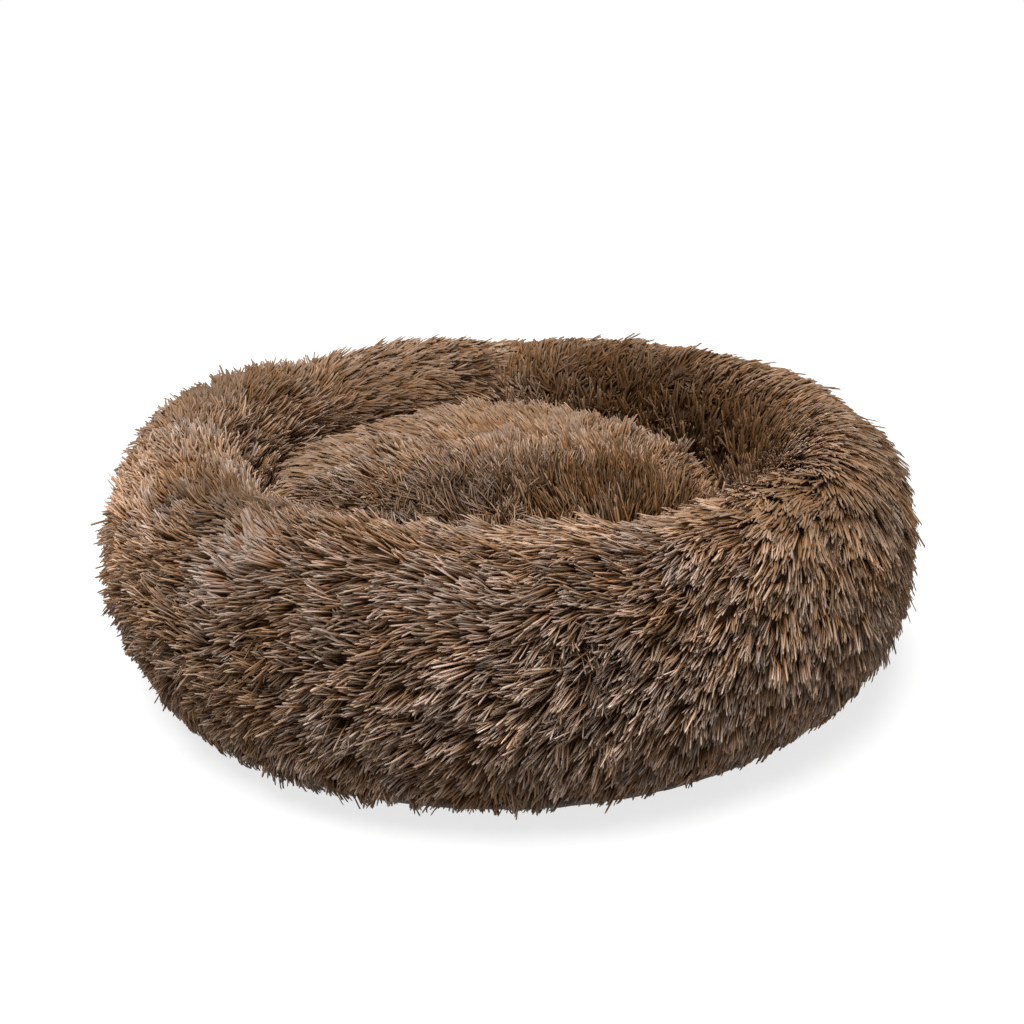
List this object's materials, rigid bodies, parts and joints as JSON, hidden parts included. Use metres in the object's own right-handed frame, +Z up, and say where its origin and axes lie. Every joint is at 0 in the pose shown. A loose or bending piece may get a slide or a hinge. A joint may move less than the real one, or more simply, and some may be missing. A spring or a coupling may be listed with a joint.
{
  "type": "donut pet bed",
  "caption": "Round plush pet bed: a stuffed faux-fur ring around a loose, plump faux-fur cushion that lifts out, with zips hidden under the belly of each cover.",
  "frame": {"origin": "middle of the base, on the floor that the bed lies on", "axes": "+Z up, +Y towards the back of the bed (the zips run round the back), +X to the right seen from the front"},
  "size_m": [0.6, 0.6, 0.178],
  "materials": {
    "fur": "matte",
    "lining": "matte",
    "base": "matte",
    "binding": "matte",
    "bag": "matte",
    "fill": "matte",
    "tape": "matte",
    "coil": "satin",
    "slider_metal": "satin"
  },
  "bodies": {
    "bed": {"fur_panel_right_back": "fur", "fur_panel_back": "fur", "fur_panel_left": "fur", "fur_panel_front": "fur", "fur_panel_front_right": "fur", "bolster_bag_upper": "bag", "bolster_bag_lower": "bag", "bolster_fill": "fill", "base_fabric": "base", "base_side_band": "base", "well_floor": "lining", "seam_binding": "binding", "cover_zip_tape_upper": "tape", "cover_zip_tape_lower": "tape", "cover_zip_coil_upper": "coil", "cover_zip_coil_lower": "coil", "cover_zip_start_stop": "slider_metal", "cover_zip_end_stop": "slider_metal"},
    "cushion": {"cushion_fur_top": "fur", "cushion_lining": "lining", "cushion_bag_upper": "bag", "cushion_bag_lower": "bag", "cushion_fill": "fill", "cushion_seam_binding": "binding", "cushion_zip_tape_upper": "tape", "cushion_zip_tape_lower": "tape", "cushion_zip_coil_upper": "coil", "cushion_zip_coil_lower": "coil", "cushion_zip_start_stop": "slider_metal", "cushion_zip_end_stop": "slider_metal"},
    "cover_slider": {"cover_zip_slider": "slider_metal"},
    "cover_pull": {"cover_zip_pull": "slider_metal"},
    "cushion_slider": {"cushion_zip_slider": "slider_metal"},
    "cushion_pull": {"cushion_zip_pull": "slider_metal"}
  },
  "joints": [
    {"name": "cushion_lift", "type": "slide", "parent": "bed", "child": "cushion", "axis": [0, 0, 1], "range_m": [0, 0.25]},
    {"name": "cover_zip_run", "type": "hinge", "parent": "bed", "child": "cover_slider", "pos_m": [0, 0, 0.0217], "axis": [0, 0, 1], "range_deg": [0, 140]},
    {"name": "cover_pull_flip", "type": "hinge", "parent": "cover_slider", "child": "cover_pull", "pos_m": [0.26752, 0.09628, 0.02172], "axis": [-0.4566, -0.1643, -0.8743], "range_deg": [0, 180]},
    {"name": "cushion_zip_run", "type": "hinge", "parent": "cushion", "child": "cushion_slider", "pos_m": [-0.006, 0, 0.037], "axis": [0, 0, 1], "range_deg": [0, 138]},
    {"name": "cushion_pull_flip", "type": "hinge", "parent": "cushion_slider", "child": "cushion_pull", "pos_m": [0.13519, 0.05345, 0.03704], "axis": [-0.5885, -0.2228, -0.7772], "range_deg": [0, 180]}
  ]
}
